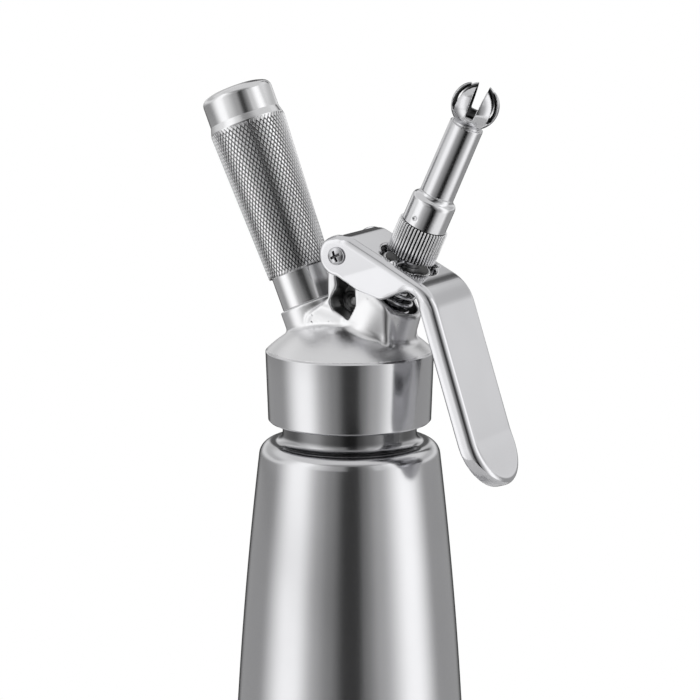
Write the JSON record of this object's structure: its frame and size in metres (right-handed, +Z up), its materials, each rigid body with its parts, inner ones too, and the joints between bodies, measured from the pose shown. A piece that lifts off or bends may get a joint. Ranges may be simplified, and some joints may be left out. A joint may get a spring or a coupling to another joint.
{
  "type": "whipped cream dispenser",
  "caption": "Steel whipped cream dispenser with a screw-on head, side lever, gas charger holder and slotted decorating nozzle.",
  "frame": {"origin": "centre of the flat base that the bottle stands on", "axes": "+Z up the bottle's axis, +X towards the lever and nozzle, the XZ plane is the mirror plane of the head"},
  "size_m": [0.1225, 0.0906, 0.3388],
  "materials": {
    "bottle_steel": "brushed along its length",
    "cast_steel": "satin, finely blasted",
    "turned_steel": "turned",
    "polished_steel": "polished",
    "spring_steel": "drawn wire",
    "charger_steel": "zinc plated",
    "strainer_brass": "plain",
    "seal_rubber": "matte",
    "red_rubber": "matte",
    "white_plastic": "plain"
  },
  "bodies": {
    "bottle": {"bottle": "bottle_steel"},
    "seal": {"head_gasket": "seal_rubber"},
    "head": {"head_casting": "cast_steel", "gas_inlet": "turned_steel", "inlet_strainer": "strainer_brass", "piercing_pin": "turned_steel", "pin_seal": "white_plastic", "check_valve": "red_rubber", "pivot_screws": "polished_steel", "valve_spring": "spring_steel"},
    "lever": {"lever": "polished_steel"},
    "valve": {"valve_stem": "turned_steel", "valve_seal": "seal_rubber", "stem_o_rings": "seal_rubber", "stem_nut": "turned_steel"},
    "washer": {"nozzle_washer": "seal_rubber"},
    "nozzle": {"nozzle_collar": "turned_steel", "nozzle_adapter": "turned_steel", "tip_seal": "seal_rubber", "nozzle_tip": "turned_steel"},
    "charger": {"gas_charger": "charger_steel"},
    "holder": {"charger_holder": "turned_steel"}
  },
  "joints": [
    {"name": "head_lift", "type": "slide", "parent": "bottle", "child": "seal", "axis": [0, 0, 1], "range_m": [0, 0.008]},
    {"name": "head_turn", "type": "hinge", "parent": "seal", "child": "head", "pos_m": [0, 0, 0.23], "axis": [0, 0, 1], "range_deg": [0, 720]},
    {"name": "lever_press", "type": "hinge", "parent": "head", "child": "lever", "pos_m": [0.003, 0, 0.27525], "axis": [0, 1, 0], "range_deg": [0, 12]},
    {"name": "stem_travel", "type": "slide", "parent": "head", "child": "valve", "axis": [-0.4179, 0, -0.9085], "range_m": [0, 0.0043], "stiffness_N_per_m": 1500, "springref_m": -0.005, "deforming": ["valve_spring"]},
    {"name": "nozzle_lift", "type": "slide", "parent": "valve", "child": "washer", "axis": [0.4179, 0, 0.9085], "range_m": [0, 0.00875]},
    {"name": "nozzle_turn", "type": "hinge", "parent": "washer", "child": "nozzle", "pos_m": [0.008, 0, 0.238], "axis": [0.4179, 0, 0.9085], "range_deg": [0, 2520]},
    {"name": "holder_lift", "type": "slide", "parent": "head", "child": "charger", "axis": [-0.3843, 0, 0.9232], "range_m": [0, 0.012]},
    {"name": "holder_turn", "type": "hinge", "parent": "charger", "child": "holder", "pos_m": [-0.0092, 0, 0.238], "axis": [-0.3843, 0, 0.9232], "range_deg": [0, 2160]}
  ],
  "couplings": [
    {"joint": "head_turn", "follows": "head_lift", "rad_per_m": 1570.8},
    {"joint": "lever_press", "follows": "stem_travel", "rad_per_m": 48.7},
    {"joint": "nozzle_turn", "follows": "nozzle_lift", "rad_per_m": 5026.5},
    {"joint": "holder_turn", "follows": "holder_lift", "rad_per_m": 3141.6}
  ]
}
